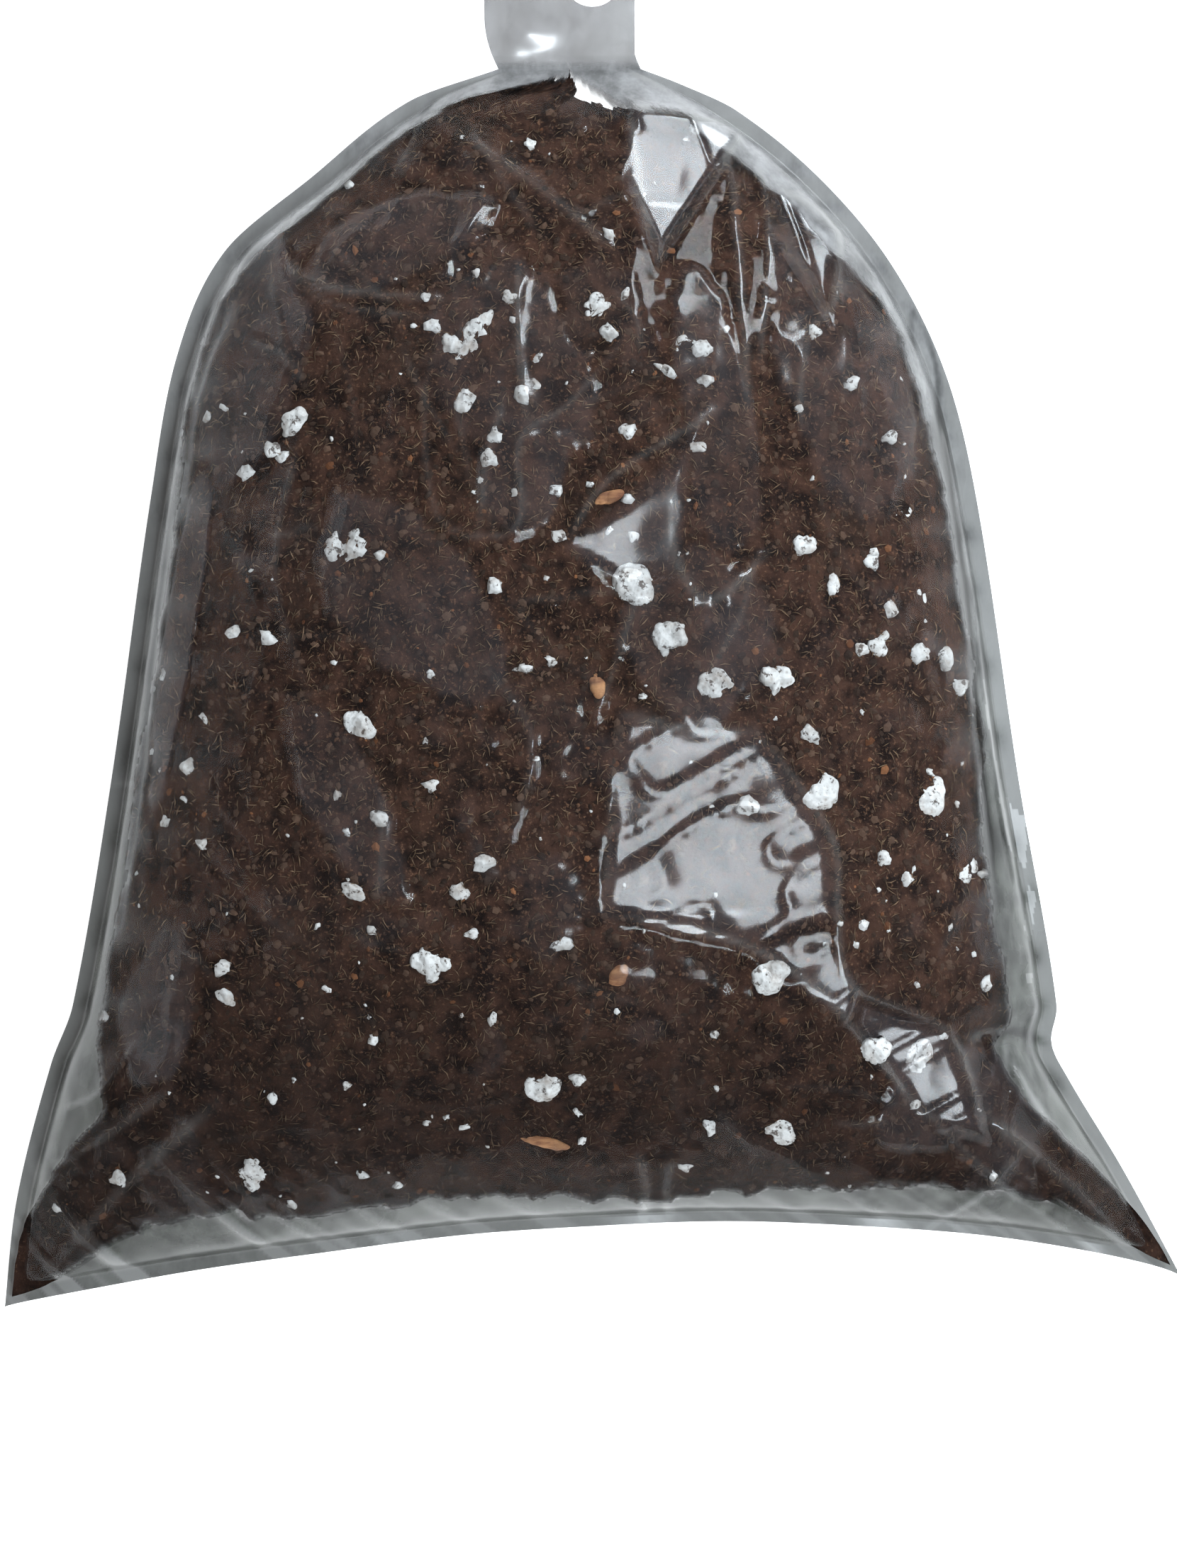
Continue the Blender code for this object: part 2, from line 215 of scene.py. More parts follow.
# Sharp creases: the points they run through, height (negative is a valley) and half-width
CREASES = (
    (((-22.3, 81.5), (-8.0, 71.0), (3.9, 60.1)), 1.1, 2.0),
    (((-52.0, 60.0), (-43.7, 54.1), (-23.5, 51.7)), 0.8, 1.6),
    (((-50.0, 56.5), (-42.0, 51.0), (-26.0, 48.5)), 0.5, 1.2),
    (((22.0, 81.5), (24.0, 60.0), (25.0, 33.0)), 0.8, 1.8),
    (((27.5, 78.0), (29.0, 62.0), (27.0, 40.0)), 0.6, 1.4),
    (((20.6, 33.3), (2.7, 22.0), (-4.4, 11.3)), 0.8, 1.4),
    (((12.3, 20.8), (13.5, 8.9), (19.4, 2.3), (29.5, 11.3)), 0.9, 1.6),
    (((6.3, 86.3), (16.0, 84.0), (26.5, 83.6)), 1.0, 1.4),
    (((26.5, 83.6), (18.0, 70.0), (10.5, 58.9)), 1.0, 1.5),
    (((6.3, 86.3), (8.0, 72.0), (10.5, 58.9)), 0.9, 1.6),
    (((8.0, 69.0), (16.0, 68.2), (19.0, 69.0)), -0.6, 1.0),
    (((30.1, 72.0), (40.8, 64.8), (39.0, 49.9)), 1.0, 1.8),
    (((48.0, 56.5), (56.3, 47.0), (58.7, 26.7), (62.3, 1.7), (63.5, -15.0), (67.0, -44.7), (69.0, -52.0)), -1.6, 1.8),
    (((4.5, -16.1), (3.0, -30.0), (1.5, -48.3)), 0.35, 1.8),
    (((4.5, -16.1), (18.2, -19.1), (26.5, -18.5)), 0.7, 1.4),
    (((26.5, -18.5), (38.5, -36.4), (39.6, -49.5), (42.0, -61.4), (58.7, -68.5), (65.2, -86.4)), 1.1, 1.6),
    (((1.5, -48.3), (25.4, -54.2), (40.8, -66.1), (55.1, -84.0)), 1.0, 1.6),
    (((-11.5, -48.9), (8.0, -48.3), (26.5, -48.9)), -0.5, 0.9),
    (((7.5, -88.0), (9.0, -95.0), (8.2, -100.6)), 1.4, 1.4),
    (((12.9, -88.5), (12.0, -95.0), (13.4, -100.6)), 1.2, 1.4),
    (((-70.0, 20.0), (-73.0, -5.0), (-76.0, -30.0), (-80.0, -55.0)), -1.2, 1.6),
    (((-60.0, 52.0), (-66.0, 36.0), (-68.5, 15.0)), -0.9, 1.6),
    (((-94.0, -112.0), (-78.0, -94.0), (-62.0, -80.0)), 1.6, 2.6),
    (((-92.0, -92.0), (-84.0, -88.0), (-70.0, -78.0)), 1.0, 1.6),
    (((-90.0, -82.0), (-83.0, -79.0), (-76.0, -70.0)), 0.9, 1.4),
    (((92.0, -107.0), (78.0, -93.0), (64.0, -82.0)), 1.5, 2.4),
    (((84.0, -92.0), (76.0, -84.0), (70.0, -74.0)), 1.0, 1.6),
    (((77.0, -71.5), (70.0, -69.0), (62.0, -70.0)), -1.3, 1.8),
    (((-25.8, 42.2), (-27.6, 32.7), (-25.2, 16.0), (-16.3, 12.4), (-11.5, 16.0), (-12.1, 27.9), (-4.4, 33.9),
      (2.7, 42.2), (5.1, 45.8)), 0.5, 1.1),
    (((-12.1, 58.9), (-12.1, 42.2), (-10.9, 31.5)), 0.7, 1.1),
    (((-18.0, -8.0), (-10.0, -20.0), (-14.0, -38.0)), 0.4, 1.2),
    (((-48.0, 30.0), (-52.0, 8.0), (-46.0, -14.0)), 0.5, 1.3),
)
# Where the lights stand: compass direction, angle from straight up, distance, width, length and power
AIM = (0.0, -10.0, 40.0)
LAMPS = {
    "strip": (-42, 28, 900, 200, 480, 10.5),
    "top_right": (62, 66, 900, 280, 280, 9.5),
    "left_fill": (165, 78, 1000, 800, 400, 1.5),
}
VIEW_X, VIEW_Y = -0.8, -27.6  # the middle of the picture, above the bag
VIEW_HEIGHT = 263.3  # what the picture spans, top to bottom, at the height of the bag's edge
CAMERA_AWAY = 1100.0

# Flat facets between the creases: corners, the lamp whose light they catch, where along it, and how flat they are
FACETS = (
    (((6.2, 86.4), (26.5, 83.6), (11.0, 58.9), (5.1, 72.9)), "top_right", 0.1, 0.98),
    (((30.1, 72.0), (40.8, 64.8), (39.0, 49.9), (33.0, 60.0)), "top_right", 0.0, 0.88),
    (((16.4, 28.5), (14.2, 6.5), (4.0, 5.0), (-4.0, 10.5)), "strip", -0.40, 0.95),
    (((4.5, -16.1), (26.5, -18.5), (38.5, -36.4), (39.6, -49.5), (25.4, -54.2), (1.5, -48.3)), "strip", -0.2, 0.95),
    (((39.0, -49.5), (43.0, -60.0), (47.0, -66.0), (40.8, -66.1), (25.4, -54.2)), "strip", 0.0, 0.9),
    (((44.0, -63.0), (58.7, -68.5), (65.2, -86.4), (55.1, -84.0), (42.8, -67.0)), "strip", 0.17, 0.92),
    (((14.5, 9.0), (19.4, 3.5), (29.5, 12.0), (27.0, 6.0), (19.0, -1.0), (13.0, 5.0)), "strip", -0.35, 0.8),
)
# Patches where the film stands off the mix: middle, half sizes and turn in degrees
PATCHES = (
    (-14.0, 40.0, 13.0, 17.0, 12), (-12.0, 24.0, 8.0, 13.0, -5), (-58.0, 42.0, 9.0, 22.0, -14),
    (40.0, 40.0, 12.0, 26.0, 18), (-68.0, 0.0, 3.0, 30.0, -9), (-30.0, 2.0, 11.0, 20.0, 35),
    (-34.0, 62.0, 16.0, 7.0, 25), (-40.0, -30.0, 7.0, 20.0, 28), (68.5, -12.0, 3.6, 58.0, 6),
    (-72.0, -66.0, 7.0, 14.0, -12), (20.0, 34.0, 7.0, 24.0, 8), (58.0, -80.0, 14.0, 9.0, 20),
    (17.0, -3.0, 13.0, 13.0, 0),
)


def lamp_point(name, along):
    """A point on a lamp, from -0.5 at its end nearest the zenith to 0.5 at the other."""
    towards, tilt, away, _, length, _ = LAMPS[name]
    a, e = math.radians(towards), math.radians(tilt)
    out = Vector((math.cos(a) * math.sin(e), math.sin(a) * math.sin(e), math.cos(e)))
    down = Vector((math.cos(a) * math.cos(e), math.sin(a) * math.cos(e), -math.sin(e)))
    return Vector(AIM) + out * away + down * length * along


def mirror_slope(x, y, z, lamp, along):
    """The slopes along x and y of a facet that shows the camera that point of the lamp."""
    here = Vector((x, y, z))
    to_lamp = (lamp_point(lamp, along) - here).normalized()
    to_camera = (Vector((VIEW_X, VIEW_Y, CAMERA_AWAY)) - here).normalized()
    facing = (to_lamp + to_camera).normalized()
    return -facing.x / facing.z, -facing.y / facing.z


def near_path(x, y, path):
    """Distance to a path of points, and how far along it, from 0 to 1."""
    best, along = np.full(len(x), 1e9), np.zeros(len(x))
    lengths = [math.dist(a, b) for a, b in zip(path, path[1:])]
    done, total = 0.0, sum(lengths)
    for (ax, ay), (bx, by), length in zip(path, path[1:], lengths):
        share = np.clip(((x - ax) * (bx - ax) + (y - ay) * (by - ay)) / length**2, 0, 1)
        gap = np.hypot(x - ax - share * (bx - ax), y - ay - share * (by - ay))
        closer = gap < best
        best[closer] = gap[closer]
        along[closer] = (done + share[closer] * length) / total
        done += length
    return best, along


def inside_depth(x, y, corners):
    """How far a point is inside a convex-ish outline of corners; negative outside."""
    depth, sense = np.full(len(x), 1e9), 0.0
    ring = list(corners) + [corners[0]]
    for (ax, ay), (bx, by) in zip(ring, ring[1:]):
        sense += ax * by - bx * ay
    for (ax, ay), (bx, by) in zip(ring, ring[1:]):
        side = ((bx - ax) * (y - ay) - (by - ay) * (x - ax)) / math.dist((ax, ay), (bx, by))
        depth = np.minimum(depth, side * (1 if sense > 0 else -1))
    return depth


def smooth_path(path):
    """More points along a path, on a smooth curve."""
    points = [Vector(p) for p in path]
    made = []
    for k in range(len(points) - 1):
        a, b, c, d = points[max(k - 1, 0)], points[k], points[k + 1], points[min(k + 2, len(points) - 1)]
        for j in range(4):
            s = j / 4
            made.append(0.5 * (
                2 * b + (c - a) * s + (2 * a - 5 * b + 4 * c - d) * s * s + (3 * b - a - 3 * c + d) * s**3
            ))
    made.append(points[-1])
    return [tuple(p) for p in made]


FACET_PLANES = {}  # each facet's slopes and level, set by the first piece that is made over it


def flatten_facets(x, y, z):
    """Pull the film flat inside each facet. Also returns how much of each point is facet."""
    flatness = np.zeros(len(x))
    for corners, lamp, along, pull in FACETS:
        depth = inside_depth(x, y, corners)
        if corners not in FACET_PLANES:
            chosen = depth > 0
            if not chosen.any():
                continue
            slopes = mirror_slope(x[chosen].mean(), y[chosen].mean(), z[chosen].mean(), lamp, along)
            level = np.mean((z - slopes[0] * x - slopes[1] * y)[chosen])
            FACET_PLANES[corners] = (*slopes, level)
        slope_x, slope_y, level = FACET_PLANES[corners]
        share = pull * step_up(-1.6, 1.8, depth)
        z = z + (slope_x * x + slope_y * y + level - z) * share
        flatness = np.maximum(flatness, share)
    return z, flatness


def patch_shares(x, y, plan):
    """From 0 where the film clings to the mix to 1 where it stands off, with crisp outlines."""
    wobble = 0.42 * fractal(plan, 16, 611, octaves=4, gain=0.6)
    inside = np.full(len(x), -1.0)
    for middle_x, middle_y, half_x, half_y, turn in PATCHES:
        a = math.radians(turn)
        u = ((x - middle_x) * math.cos(a) + (y - middle_y) * math.sin(a)) / half_x
        v = ((y - middle_y) * math.cos(a) - (x - middle_x) * math.sin(a)) / half_y
        inside = np.maximum(inside, 1 - np.hypot(u, v))
    cloudy = fractal(plan, 17, 71, octaves=4, gain=0.6)
    return np.maximum(step_up(-0.05, 0.12, inside + wobble), 0.6 * step_up(0.2, 0.42, cloudy))


def front_relief(x, y, height, across):
    """How far the wrinkled front film stands above the smooth form, how far it stands off the mix (0 to 1), and the
    line value that paints glints on its ridges and shade in its creases (painted highlight and painted shade).
    """
    plan = np.column_stack([x, y])
    warp = np.column_stack([fractal(plan, 40, 5), fractal(plan, 40, 9)]) * 9
    inward = np.minimum(across, 1 - across)
    relief, line = np.zeros(len(x)), np.zeros(len(x))
    for path, rise, width in CREASES:
        gap, along = near_path(x + warp[:, 0] * 0.08, y + warp[:, 1] * 0.08, smooth_path(path))
        ends = np.clip(np.minimum(along, 1 - along) * 6 + 0.15, 0, 1)
        relief += rise * ends * np.exp(-((gap / width) ** 1.25))
        # the crease's line: a painted glint on a ridge, painted shade in a valley
        line += np.clip(rise, -1, 0.7) * ends * np.exp(-((gap / (0.45 * width)) ** 2))
    dice = random.Random(19)
    for _ in range(RANDOM_CREASES):
        middle, turn = (dice.uniform(-80, 80), dice.uniform(-100, 88)), dice.gauss(1.9, 0.75)
        reach, bow = dice.uniform(4, 15), dice.uniform(-2, 2)
        ends = [
            (middle[0] + k * reach * math.cos(turn), middle[1] + k * reach * math.sin(turn)) for k in (-1, 1)
        ]
        bent = (middle[0] - bow * math.sin(turn), middle[1] + bow * math.cos(turn))
        gap, along = near_path(x, y, (ends[0], bent, ends[1]))
        rise = dice.choice((-0.45, 0.3, 0.4, 0.55)) * np.clip(np.minimum(along, 1 - along) * 5, 0, 1)
        relief += rise * np.exp(-((gap / dice.uniform(0.7, 1.5)) ** 1.2))
        line += 0.8 * rise * np.exp(-((gap / 0.6) ** 2))
    # broad slack folds, then finer crumples that run with them
    slanted = (plan + warp) @ np.array([[0.9, 0.35], [-0.35, 0.55]])
    broad = 1 - np.abs(smooth_noise(slanted, 26, 31))
    fine = 1 - np.abs(smooth_noise(slanted * [1.6, 1.0], 9.5, 47))
    finest = 1 - np.abs(smooth_noise((plan + warp * 0.5) * [1.2, 1.0], 4.5, 63))
    slack = patch_shares(x, y, plan)
    cling = 0.10 * smooth_noise(plan, 2.4, 95) + 0.05 * smooth_noise(plan, 1.3, 97)
    relief += 1.2 * broad**4 + (0.12 + 0.34 * slack) * fine**3 + 0.08 * slack * finest**3 + 0.55 * slack
    relief += (1 - slack) * cling
    # puckers drawn out of the weld along the bottom seam and up the sides
    from_seam = height * BODY_LENGTH
    slanting = across + 0.0045 * from_seam
    phase = slanting * 46 + 3.0 * smooth_noise(np.column_stack([slanting * 9, np.full(len(x), 3.3)]), 1.0, 77)
    strength = 0.6 + 0.5 * smooth_noise(np.column_stack([across * 7, height * 3]), 1.0, 83)
    pucker = 0.8 * np.sin(phase * 2.1) + 0.7 * np.sin(phase * 4.7 + 1.0)
    near_seam = strength * np.exp(-from_seam / 12)
    relief += 1.9 * (0.5 + 0.5 * pucker) ** 2 * near_seam * step_up(0, 4, from_seam)
    # painted glints and painted shade streaked along the puckers
    line += 1.2 * np.clip(pucker - 0.1, -0.3, 1.0) * near_seam
    line += 0.6 * (1 - step_up(0.0, 0.04, swell(height, across)))
    side = inward * 150
    run = height * 60 + 2.0 * smooth_noise(np.column_stack([height * 14, across * 2]), 1.0, 91)
    pull = (0.5 + 0.5 * np.sin(run * 1.7)) ** 3 * np.exp(-side / 9) * step_up(0, 3, side) * step_up(0.05, 0.2, height)
    relief += 0.8 * pull
    # painted shade along the side pulls
    line -= 0.8 * pull
    line -= 0.8 * np.exp(-(((1 - height) / 0.004) ** 2))
    standoff = np.clip(0.75 * slack + 0.25 * broad**4, 0, 1)
    return relief, standoff, line


def facet_stripes(x, y):
    """The short slanting ripples that run across the bright facets."""
    turn = math.radians(28)
    u, v = x * math.cos(turn) + y * math.sin(turn), y * math.cos(turn) - x * math.sin(turn)
    place = np.column_stack([u / 13, v / 4.0])
    low = 1 - step_up(-16.0, 0.0, y)
    swirl = 0.22 * smooth_noise(np.column_stack([x, y]), 6.0, 651) + 0.35 * step_up(50.0, 56.0, y) * (
        1 - np.abs(smooth_noise(np.column_stack([x * 1.4 + y * 0.5, y]), 7.0, 661))) ** 4
    return 0.5 * (1 - np.abs(smooth_noise(place, 1.0, 631))) ** 3 * low + swirl


def front_film(height, across):
    """The outside of the front film over the body: plan position, height above the floor and stand-off."""
    x, y = body_plan(height, across)
    smooth = edge_height(height, across) + FILM + FRONT_DEPTH * swell(height, across)
    free = step_up(0.0, 0.16, swell(height, across)) * (1 - step_up(0.955, 1.0, height))
    z = smooth + 0.35 * free
    flat, flatness = flatten_facets(x, y, z)
    relief, standoff, line = front_relief(x, y, height, across)
    relief = relief * (1 - 0.88 * flatness) + facet_stripes(x, y) * flatness
    z = z + (flat - z) * free + relief * free
    return x, y, z, smooth, np.maximum(standoff, flatness), line


# ---------------------------------------------------------------- mesh helpers

def grid_faces(rows, columns, flip=False):
    a = (np.arange(rows - 1)[:, None] * columns + np.arange(columns - 1)[None, :]).ravel()
    quads = np.column_stack([a, a + 1, a + columns + 1, a + columns])
    return quads[:, ::-1] if flip else quads


def mesh_object(name, points, faces, material, smooth=True):
    """A named mesh object from points in millimetres and an array of faces."""
    mesh = bpy.data.meshes.new(name)
    faces = np.asarray(faces, np.int32)
    count, corners = faces.shape
    mesh.vertices.add(len(points))
    mesh.vertices.foreach_set("co", (np.asarray(points, np.float32) * MM).ravel())
    mesh.loops.add(count * corners)
    mesh.loops.foreach_set("vertex_index", faces.ravel())
    mesh.polygons.add(count)
    mesh.polygons.foreach_set("loop_start", np.arange(count, dtype=np.int32) * corners)
    mesh.polygons.foreach_set("loop_total", np.full(count, corners, np.int32))
    mesh.polygons.foreach_set("use_smooth", np.full(count, smooth))
    mesh.update(calc_edges=True)
    mesh.validate()
    mesh.materials.append(material)
    thing = bpy.data.objects.new(name, mesh)
    bpy.context.scene.collection.objects.link(thing)
    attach(thing, "root")
    return thing


def add_values(thing, name, values):
    """A number on each vertex for the material to read."""
    layer = thing.data.attributes.new(name, "FLOAT", "POINT")
    layer.data.foreach_set("value", np.asarray(values, np.float32))


def row_shares(count, power=1.0):
    """Shares from 0 to 1, closer together at both ends."""
    t = np.linspace(0, 1, count)
    return t + power * 0.06 * np.sin(2 * math.pi * t) * -1


# ---------------------------------------------------------------- materials

class Nodes:
    """A material's node tree with short calls for the nodes used here."""

    def __init__(self, name):
        self.material = bpy.data.materials.new(name)
        self.material.use_nodes = True
        self.tree = self.material.node_tree
        self.shader = self.tree.nodes["Principled BSDF"]
        self.place = self.add("ShaderNodeTexCoord").outputs["Object"]

    def add(self, kind, **settings):
        node = self.tree.nodes.new(kind)
        for key, value in settings.items():
            setattr(node, key, value)
        return node

    def put(self, value, socket):
        if isinstance(value, bpy.types.NodeSocket):
            self.tree.links.new(value, socket)
        else:
            socket.default_value = value

    def noise(self, scale, detail=3.0, roughness=0.55, stretch=None):
        node = self.add("ShaderNodeTexNoise")
        node.inputs["Scale"].default_value = scale
        node.inputs["Detail"].default_value = detail
        node.inputs["Roughness"].default_value = roughness
        place = self.place
        if stretch:
            mapping = self.add("ShaderNodeMapping")
            mapping.inputs["Scale"].default_value = stretch
            self.put(place, mapping.inputs["Vector"])
            place = mapping.outputs["Vector"]
        self.put(place, node.inputs["Vector"])
        return node.outputs["Fac"]

    def cells(self, scale, feature="F1"):
        node = self.add("ShaderNodeTexVoronoi", feature=feature)
        node.inputs["Scale"].default_value = scale
        self.put(self.place, node.inputs["Vector"])
        return node

    def up_the_bag(self):
        split = self.add("ShaderNodeSeparateXYZ")
        self.put(self.place, split.inputs[0])
        return split.outputs["Y"]

    def with_painted_foot_shade(self, colour):
        """The colour, darker towards the foot of the bag: painted shade."""
        return self.mix(self.between(self.up_the_bag(), -0.045, -0.085, 0.0, 0.5), colour, (0.004, 0.002, 0.0015))

    def value(self, name):
        return self.add("ShaderNodeAttribute", attribute_name=name).outputs["Fac"]

    def between(self, value, low, high, to_low=0.0, to_high=1.0):
        node = self.add("ShaderNodeMapRange")
        for socket, setting in zip(node.inputs, (value, low, high, to_low, to_high)):
            self.put(setting, socket)
        return node.outputs["Result"]

    def math(self, operation, a, b):
        node = self.add("ShaderNodeMath", operation=operation)
        self.put(a, node.inputs[0])
        self.put(b, node.inputs[1])
        return node.outputs["Value"]

    def mix(self, share, a, b):
        node = self.add("ShaderNodeMix", data_type="RGBA")
        self.put(share, node.inputs[0])
        for socket, colour in ((node.inputs[6], a), (node.inputs[7], b)):
            self.put(colour if isinstance(colour, bpy.types.NodeSocket) else (*colour, 1.0), socket)
        return node.outputs[2]

    def bump(self, height, distance, strength=1.0, under=None):
        node = self.add("ShaderNodeBump")
        node.inputs["Strength"].default_value = strength
        node.inputs["Distance"].default_value = distance
        self.put(height, node.inputs["Height"])
        if under is not None:
            self.put(under, node.inputs["Normal"])
        return node.outputs["Normal"]

    def finish(self, colour, roughness, normal=None, **plain):
        self.put(colour if isinstance(colour, bpy.types.NodeSocket) else (*colour, 1.0), self.shader.inputs["Base Color"])
        self.put(roughness, self.shader.inputs["Roughness"])
        if normal is not None:
            self.put(normal, self.shader.inputs["Normal"])
        for key, value in plain.items():
            self.put(value, self.shader.inputs[key.replace("_", " ")])
        return self.material


def film_material(name, **plain):
    """Clear glossy film: milkier where it stands off the mix; grey in the empty edge, partly from the film's layers and
    partly painted shade, darker towards the bottom; with painted glints along ridges and painted shade along creases
    and folds.
    """
    n = Nodes(name)
    off, rim, line = n.value("standoff"), n.value("rim"), n.value("line")
    cloud = n.noise(60, 3, 0.6)
    streak = n.noise(220, 2, 0.5, stretch=(1.0, 0.18, 1.0))
    smear = n.noise(170, 4, 0.7, stretch=(1.0, 0.5, 1.0))
    haze = n.math("ADD", n.math("MULTIPLY", off, n.between(cloud, 0.3, 0.7, 0.5, 1.1)),
                  n.between(streak, 0.45, 0.75, 0.0, 0.12))
    # the line value paints the film lighter along ridges and darker along creases and folds: painted highlight and
    # painted shade
    painted_glint, valley = n.between(line, 0.0, 0.8), n.between(line, 0.0, -0.8)
    alpha = n.math("ADD", n.between(haze, 0.0, 1.0, 0.055, 0.23), n.math("MULTIPLY", rim, 0.74))
    alpha = n.math("ADD", alpha, n.math("MULTIPLY", painted_glint, 0.09))
    alpha = n.math("ADD", alpha, n.math("MULTIPLY", valley, 0.30))
    peel = n.bump(n.noise(160, 2, 0.5), 0.00005, 0.14)
    colour = n.mix(haze, (0.018, 0.018, 0.019), (0.105, 0.095, 0.103))
    # the empty edge is painted grey, partly for the film's layers and partly painted shade, darker towards the bottom
    low = n.mix(n.between(smear, 0.35, 0.65), (0.018, 0.0195, 0.017), (0.088, 0.093, 0.083))
    high = n.mix(n.between(smear, 0.35, 0.65), (0.11, 0.11, 0.112), (0.27, 0.27, 0.276))
    colour = n.mix(rim, colour, n.mix(n.between(n.up_the_bag(), -0.04, 0.08), low, high))
    # painted glint on the ridges, then painted shade in the creases and folds
    colour = n.mix(painted_glint, colour, (0.20, 0.20, 0.195))
    colour = n.mix(valley, colour, (0.02, 0.02, 0.019))
    rough = n.math("ADD", n.between(haze, 0.0, 1.0, 0.07, 0.19), n.math("MULTIPLY", rim, 0.15))
    return n.finish(colour, rough, peel, Alpha=n.math("MINIMUM", alpha, 0.95), **plain)


def peat_material():
    n = Nodes("coco_peat")
    fine = n.noise(1500, 4, 0.65)
    clump = n.noise(240, 3, 0.6)
    warm = n.noise(90, 2, 0.5)
    dark = n.mix(n.between(clump, 0.38, 0.62), (0.0078, 0.0037, 0.0027), (0.047, 0.0222, 0.0146))
    colour = n.mix(n.between(fine, 0.56, 0.7, 0.0, 0.85), dark, (0.145, 0.076, 0.045))
    colour = n.mix(n.between(warm, 0.5, 0.7, 0.0, 0.25), colour, (0.038, 0.021, 0.013))
    normal = n.bump(clump, 0.0008, 0.8, under=n.bump(fine, 0.0004, 0.9))
    # the peat is darker towards the foot of the bag: painted shade
    return n.finish(n.with_painted_foot_shade(colour), 0.9, normal, Specular_IOR_Level=0.1)


def crumb_material(name, dark, light, rough):
    """Loose crumbs, each with its own shade."""
    n = Nodes(name)
    shade = n.value("shade")
    fine = n.noise(1800, 3, 0.6)
    colour = n.mix(n.math("ADD", n.math("MULTIPLY", shade, 0.75), n.math("MULTIPLY", fine, 0.3)), dark, light)
    # the crumbs are darker towards the foot of the bag: painted shade
    return n.finish(n.with_painted_foot_shade(colour), rough, n.bump(fine, 0.0003, 0.8), Specular_IOR_Level=0.12)


def perlite_material():
    n = Nodes("perlite")
    pits = n.cells(900).outputs["Distance"]
    fine = n.noise(1600, 3, 0.6)
    stain = n.noise(330, 3, 0.6)
    dirt = n.noise(700, 4, 0.7)
    colour = n.mix(n.between(stain, 0.45, 0.72, 0.0, 0.85), (0.55, 0.555, 0.55), (0.27, 0.235, 0.205))
    colour = n.mix(n.between(pits, 0.0, 0.32, 0.55, 0.0), colour, (0.20, 0.16, 0.13))
    colour = n.mix(n.between(dirt, 0.56, 0.62, 0.0, 0.9), colour, (0.05, 0.032, 0.024))
    normal = n.bump(pits, 0.0005, 0.7, under=n.bump(fine, 0.0002, 0.6))
    return n.finish(colour, 0.85, normal)


def bark_material():
    n = Nodes("bark")
    grain = n.noise(700, 4, 0.6, stretch=(0.25, 1.0, 1.0))
    patch = n.noise(300, 2, 0.5)
    colour = n.mix(n.between(grain, 0.35, 0.65), (0.13, 0.045, 0.018), (0.42, 0.21, 0.09))
    colour = n.mix(n.between(patch, 0.5, 0.7, 0.0, 0.6), colour, (0.10, 0.045, 0.02))
    return n.finish(colour, 0.8, n.bump(grain, 0.0004, 0.8))


# ---------------------------------------------------------------- pieces

def film_front():
    """The front film's body with its half of the weld, and how many of the film's rows go to the tab."""
    tab_rows = round(FRONT_ROWS * TAB_SHARE)
    body_rows = FRONT_ROWS - tab_rows
    heights = row_shares(body_rows)
    shares = row_shares(FRONT_COLUMNS)
    height = np.repeat(heights, FRONT_COLUMNS)
    across = np.tile(shares, body_rows)
    x, y, z, _, standoff, line = front_film(height, across)
    # line carries the painted glints and painted crease shade for the film's colour
    values = {"standoff": standoff, "rim": rim_share(height, across), "line": line}
    return np.column_stack([x, y, z]), values, shares, tab_rows


def fill_sides(y):
    """How far inside the left and the right edge the mix begins, at the heights y."""
    shoulder = 2.6 * step_up(52.0, 64.0, y) * (1 - step_up(78.0, 88.0, y))
    left = CLEAR_LEFT + 0.2 * shoulder + 7.0 * np.exp(-(((y + 82) / 9) ** 2))
    right = CLEAR_RIGHT + shoulder + 3.4 * (1 - step_up(-50.0, -20.0, y)) * step_up(-100.0, -84.0, y)
    near_tip = 1 - 0.85 * (1 - step_up(-112.0, -92.0, y))
    sides = []
    for number, (edge, clear) in enumerate(((LEFT_EDGE, left), (RIGHT_EDGE, right))):
        slant = np.hypot(1.0, (edge_x(edge, y + 1.0) - edge_x(edge, y - 1.0)) / 2)
        ragged = 1.6 * fractal(np.column_stack([y, np.full(len(y), 40.0 * number)]), 8, 301 + number, gain=0.7)
        sides.append(np.minimum((WELD * near_tip + (clear + ragged) * near_tip + 0.6) * slant, 14.0))
    return sides


def fill_ends(across):
    """Where the mix begins above the bottom and where it ends at the neck, as shares of the height."""
    line = np.column_stack([across * 180, np.zeros(len(across))])
    spikes = fractal(line, 14, 341, octaves=5, gain=0.75)
    middle = step_up(0.0, 0.14, across) * step_up(0.0, 0.12, 1 - across)
    dip = 4.5 * spikes + 2.5 * np.sin(across * 5.0 + 0.6) ** 2
    low = (CLEAR_BOTTOM - 5.6 * (1 - middle) + middle * dip) / BODY_LENGTH
    ragged = 0.01 * fractal(line, 7, 351, octaves=4, gain=0.8)
    return low, FILL_TOP - 0.03 * step_up(0.55, 0.75, across) + ragged


def rim_share(height, across):
    """1 in the empty edge of the bag, falling to 0 over the mix."""
    y = LEFT_EDGE[0][1] + (NECK_Y - LEFT_EDGE[0][1]) * height
    width = edge_x(RIGHT_EDGE, y) - edge_x(LEFT_EDGE, y)
    left, right = fill_sides(y)
    low, top = fill_ends(across)
    inside = np.minimum.reduce([
        across * width - left, (1 - across) * width - right, (height - low) * BODY_LENGTH,
        (top - height) * BODY_LENGTH,
    ])
    return 1 - step_up(-0.6, 1.4, inside)


